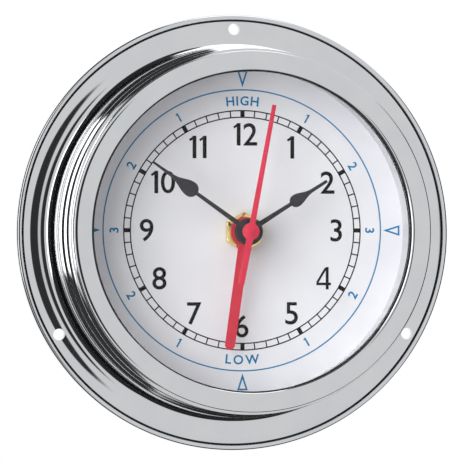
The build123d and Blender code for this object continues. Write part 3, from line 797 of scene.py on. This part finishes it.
def sweep_hand():
    hand = tapered("sweep_hand", SWEEP_ROOT_W, SWEEP_TIP_W, 0, SWEEP_LEN)
    for part in (tapered("tail_tool", SWEEP_TAIL_END_W, SWEEP_TAIL_ROOT_W, -SWEEP_TAIL_LEN, SWEEP_TAIL_LAP),
                 disc("hub_tool", SWEEP_HUB_R, 0, SWEEP_THICK),
                 disc("cap_tool", SWEEP_CAP_R, SWEEP_THICK / 2, SWEEP_THICK + SWEEP_CAP_H),
                 disc("collet_tool", ARBOR_R + COLLET_WALL, -COLLET_H, SWEEP_THICK / 2)):
        carve(hand, part, "UNION")
    carve(hand, disc("bore_tool", ARBOR_R, -2 * COLLET_H, SWEEP_THICK), "DIFFERENCE")
    alone(hand)
    modifier = hand.modifiers.new("worn_edges", "BEVEL")
    modifier.width = SWEEP_WEAR * MM
    modifier.segments = BEVEL_STEPS
    modifier.limit_method = "ANGLE"
    modifier.angle_limit = math.radians(SWEEP_WEAR_ANGLE)
    bpy.ops.object.modifier_apply(modifier=modifier.name)
    clock_turn(hand, SWEEP_TURN)
    on_dial(hand, SWEEP_Z)
    smooth(hand, SMOOTH_SWEEP)
    return hand


sweep = sweep_hand()
finish_with(sweep, second_paint)
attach(sweep, "seconds")
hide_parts("second_hand")


# Dial print, drawn flat and then stood on the dial

def glyphs(text, height, weight):
    """Flat lettering of a given capital height, centred, given the thickness of an ink film."""
    deselect()
    bpy.ops.object.text_add()
    piece = started("lettering")
    piece.data.body = text
    piece.data.align_x = "CENTER"
    piece.data.extrude = TEXT_DEPTH / 2
    piece.data.offset = weight
    piece.data.resolution_u = GLYPH_STEPS
    alone(piece)
    bpy.ops.object.convert(target="MESH")
    piece = started("lettering")
    xs = [v.co.x for v in piece.data.vertices]
    ys = [v.co.y for v in piece.data.vertices]
    tall = max(ys) - min(ys)
    size = height * MM / tall
    piece.scale = (size, size, INK * MM / TEXT_DEPTH)
    piece.location = (-(max(xs) + min(xs)) / 2 * size, -(max(ys) + min(ys)) / 2 * size, INK * MM / 2)
    apply_place(piece)
    edit(piece)
    welded()
    done()
    return piece


def slab(name, width, height, x=0.0, y=0.0, turn=0.0):
    """Printed block of a given size, turned and then set down."""
    deselect()
    bpy.ops.mesh.primitive_cube_add(size=MM, location=(0, 0, INK / 2 * MM))
    piece = started(name)
    piece.scale = (width, height, INK)
    apply_place(piece)
    piece.rotation_euler = (0, 0, math.radians(turn))
    piece.location = (x * MM, y * MM, 0)
    apply_place(piece)
    return piece


def block_figure(digit, height):
    """A figure put together from its blocks."""
    first, *others = (slab("block", width * height, tall * height, x * height, y * height, turn)
                      for width, tall, x, y, turn in BLOCK_FIGURE_SHARES[digit])
    for block in others:
        carve(first, block, "UNION")
    return first


def figures(text, height, weight):
    """A number set digit by digit, centred."""
    parts = []
    right = 0.0
    for digit in text:
        in_blocks = digit in BLOCK_FIGURE_SHARES
        part = block_figure(digit, height) if in_blocks else glyphs(digit, height, weight)
        xs = [v.co.x for v in part.data.vertices]
        part.location = (right - min(xs), 0, 0)
        apply_place(part)
        parts.append(part)
        right += max(xs) - min(xs) + NUMERAL_GAP * MM
    number = joined("figures", parts)
    number.location = (-(right - NUMERAL_GAP * MM) / 2, 0, 0)
    apply_place(number)
    return number


def numerals():
    """The hours, upright round their circle."""
    parts = []
    for hour in range(1, 13):
        part = figures(str(hour), NUMERAL_H, NUMERAL_WEIGHT)
        angle = math.radians(30 * hour)
        shift = NUDGED.get(hour, SINGLE_SHIFT if hour < 10 else DOUBLE_SHIFT)
        part.location = ((NUMERAL_R * math.sin(angle) + shift) * MM, NUMERAL_R * MM * math.cos(angle), 0)
        apply_place(part)
        parts.append(part)
    return joined("dial_numerals", parts)


def outlined(piece, width):
    """Turns a flat face into a printed line along its edge, with the thickness of the ink."""
    edit(piece)
    bpy.ops.mesh.inset(thickness=width * MM)
    bpy.ops.mesh.delete(type="FACE")
    bpy.ops.mesh.select_all(action="SELECT")
    bpy.ops.mesh.extrude_region_move(TRANSFORM_OT_translate={"value": (0, 0, INK * MM)})
    bpy.ops.mesh.select_all(action="SELECT")
    bpy.ops.mesh.normals_make_consistent(inside=False)
    done()


def line_ring(name, radius, width):
    """Printed circle."""
    deselect()
    bpy.ops.mesh.primitive_circle_add(vertices=LINE_SIDES, radius=(radius + width / 2) * MM, fill_type="NGON")
    piece = started(name)
    outlined(piece, width)
    return piece


def minute_track():
    """Two circles with a bar for each minute and a block for each hour."""
    parts = [line_ring("track_ring", radius, TRACK_LINE) for radius in (TRACK_IN_R, TRACK_OUT_R)]
    long = TRACK_OUT_R - TRACK_IN_R
    middle = (TRACK_OUT_R + TRACK_IN_R) / 2
    thin = slab("minute_bar", TRACK_LINE, long, y=middle)
    thick = slab("hour_bar", HOUR_BLOCK_W, long, y=middle)
    for minute in range(60):
        part = copied(thick if minute % 5 == 0 else thin)
        clock_turn(part, 6 * minute)
        parts.append(part)
    bpy.data.objects.remove(thin)
    bpy.data.objects.remove(thick)
    return joined("minute_track", parts)


def pointer():
    """Printed outline of a narrow triangle, point inwards, at twelve o'clock."""
    deselect()
    bpy.ops.mesh.primitive_circle_add(vertices=3, radius=MM, fill_type="NGON", rotation=(0, 0, math.pi))
    piece = started("tide_pointer")
    apply_place(piece)
    # A triangle in a unit circle is this tall and this wide
    unit_h = 1.5
    unit_w = math.sqrt(3)
    stretch = (POINTER_BASE_R - POINTER_TIP_R) / unit_h
    piece.scale = (POINTER_W / unit_w, stretch, 1)
    piece.location = (0, (POINTER_TIP_R + stretch) * MM, 0)
    apply_place(piece)
    outlined(piece, POINTER_LINE)
    return piece


def on_scale(part, degrees, head_in):
    """Moves a character out to the tide scale and round it, its head inwards on the lower half."""
    part.location = (0, TIDE_SCALE_R * MM, 0)
    if head_in:
        part.rotation_euler = (0, 0, math.pi)
    apply_place(part)
    clock_turn(part, degrees)


def tide_scale():
    """Blue circle with four pointers, the hours to and from high water, and the two words."""
    parts = [line_ring("tide_circle", TIDE_CIRCLE_R, TIDE_LINE)]
    first = pointer()
    for quarter in range(4):
        part = copied(first)
        clock_turn(part, 90 * quarter)
        parts.append(part)
    bpy.data.objects.remove(first)
    for start in (0, 180):
        for index, text in enumerate("12321"):
            degrees = start + 30 * (index + 1)
            part = figures(text, TIDE_SCALE_H, TIDE_SCALE_WEIGHT)
            on_scale(part, degrees, 90 < degrees < 270)
            parts.append(part)
    for text, degrees, sense in (("HIGH", 0, 1), ("LOW", 180, -1)):
        letters = [glyphs(letter, TIDE_SCALE_H, TIDE_SCALE_WEIGHT) for letter in text]
        widths = [part.dimensions.x / MM for part in letters]
        along = -(sum(widths) + LETTER_GAP * (len(text) - 1)) / 2
        for part, width in zip(letters, widths):
            offset = math.degrees((along + width / 2) / TIDE_SCALE_R)
            along += width + LETTER_GAP
            on_scale(part, degrees + sense * offset, sense < 0)
            parts.append(part)
    return joined("tide_scale", parts)


for make, ink in ((numerals, black_ink), (minute_track, black_ink), (tide_scale, blue_ink)):
    piece = make()
    piece.location = (0, PRINT_RISE * MM, 0)
    apply_place(piece)
    on_dial(piece)
    finish_with(piece, ink)
    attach(piece, "base")


# Floor, light and camera

def aimed(location):
    """Turn that looks from a place to the clock's middle."""
    return (-Vector(location)).to_track_quat("-Z", "Y").to_euler()


def direction(azimuth, elevation, distance):
    """Point at a direction from the clock: azimuth 0 straight in front, positive to the right."""
    side = math.radians(azimuth)
    up = math.radians(elevation)
    return Vector((math.sin(side) * math.cos(up), -math.cos(side) * math.cos(up), math.sin(up))) * distance


# White floor far below, so that views from beneath still see the clock
white_floor, tree = material("white_floor")
share = add(tree, "ShaderNodeMath", {0: seen_rays(tree), 1: FLOOR_GLOW}, operation="MULTIPLY")
matt = add(tree, "ShaderNodeBsdfDiffuse", {"Color": linear("#F4F4F4")})
glow = add(tree, "ShaderNodeEmission", {"Color": (1, 1, 1, 1), "Strength": 1.0})
mix = add(tree, "ShaderNodeMixShader", {0: share.outputs[0], 1: matt.outputs["BSDF"],
                                        2: glow.outputs["Emission"]})
add(tree, "ShaderNodeOutputMaterial", {"Surface": mix.outputs["Shader"]})
deselect()
bpy.ops.mesh.primitive_plane_add(size=FLOOR_SIZE, location=(0, 0, -FLOOR_DROP))
floor = started("floor")
finish_with(floor, white_floor)

# White room: plain white where it is seen, softer as light
world = bpy.data.worlds.new("white_room")
scene.world = world
world.use_nodes = True
tree = world.node_tree
tree.nodes.clear()
room = add(tree, "ShaderNodeBackground", {"Color": linear("#F6F6F8"), "Strength": ROOM_LIGHT})
white = add(tree, "ShaderNodeBackground", {"Color": (1, 1, 1, 1), "Strength": 1.0})
mix = add(tree, "ShaderNodeMixShader", {0: seen_rays(tree), 1: room.outputs["Background"],
                                        2: white.outputs["Background"]})
add(tree, "ShaderNodeOutputWorld", {"Surface": mix.outputs["Shader"]})

# Lamps: the key lights the dial and isn't reflected, the side lamp only draws the bright streak on the metal
for name, azimuth, elevation, distance, width, height, power in (
        ("key_lamp", -45, 10, 1.1, 1.1, 1.1, 14.6),
        ("side_lamp", -53, 14, 1.1, 0.4, 1.4, 4.0),
        ("top_lamp", 10, 78, 1.0, 0.7, 0.7, 2.0)):
    place = direction(azimuth, elevation, distance)
    bpy.ops.object.light_add(type="AREA", location=place, rotation=aimed(place))
    lamp = bpy.context.object
    lamp.name = name
    lamp.data.shape = "RECTANGLE"
    lamp.data.size = width
    lamp.data.size_y = height
    lamp.data.energy = power
    lamp.visible_glossy = name != "key_lamp"
    lamp.visible_diffuse = name != "side_lamp"


def dark_card(name, place, half_width, half_height, shade):
    """Dark oval with a soft edge, seen only in the metal."""
    made, tree = material(name)
    coords = add(tree, "ShaderNodeTexCoord")
    shrink = (1 / half_width, 1 / half_height, 1)
    unit = add(tree, "ShaderNodeVectorMath", {0: coords.outputs["Object"], 1: shrink}, operation="MULTIPLY")
    reach = add(tree, "ShaderNodeVectorMath", {0: unit.outputs["Vector"]}, operation="LENGTH")
    fade = add(tree, "ShaderNodeMapRange", {"Value": reach.outputs["Value"], "From Min": CARD_SOLID_SHARE,
                                            "From Max": 1.0}, interpolation_type="SMOOTHSTEP")
    black = add(tree, "ShaderNodeEmission", {"Color": (shade, shade, shade, 1), "Strength": 1.0})
    clear = add(tree, "ShaderNodeBsdfTransparent")
    mix = add(tree, "ShaderNodeMixShader", {0: fade.outputs["Result"], 1: black.outputs["Emission"],
                                            2: clear.outputs["BSDF"]})
    add(tree, "ShaderNodeOutputMaterial", {"Surface": mix.outputs["Shader"]})
    deselect()
    side = 2 * max(half_width, half_height)
    bpy.ops.mesh.primitive_plane_add(size=side, location=place, rotation=aimed(place))
    card = started(name)
    finish_with(card, made)
    card.visible_camera = False
    card.visible_diffuse = False
    card.visible_shadow = False
    card.visible_transmission = False


# Cards about the camera, below, at either side and at the corners on the left
dark_card("camera_card", direction(-7, 0, 1.4), 0.285, 0.35, 0.045)
dark_card("low_card", direction(0, -88, 0.27), 0.65, 0.18, 0.03)
dark_card("left_card", direction(-97, 8, 0.5), 0.42, 0.72, 0.03)
dark_card("high_card", direction(-92, 54, 0.5), 0.42, 0.26, 0.03)
dark_card("right_card", direction(97, 0, 0.5), 0.56, 0.46, 0.03)
dark_card("corner_card", direction(-56, -36, 0.6), 0.28, 0.3, 0.055)
dark_card("upper_card", direction(-40, 55, 0.6), 0.26, 0.24, 0.05)

place = direction(CAMERA_AZIMUTH, CAMERA_ELEVATION, CAMERA_DISTANCE)
bpy.ops.object.camera_add(location=place, rotation=aimed(place))
camera = bpy.context.object
camera.data.lens = LENS
camera.data.sensor_width = SENSOR
camera.data.clip_end = FAR_CLIP
scene.camera = camera
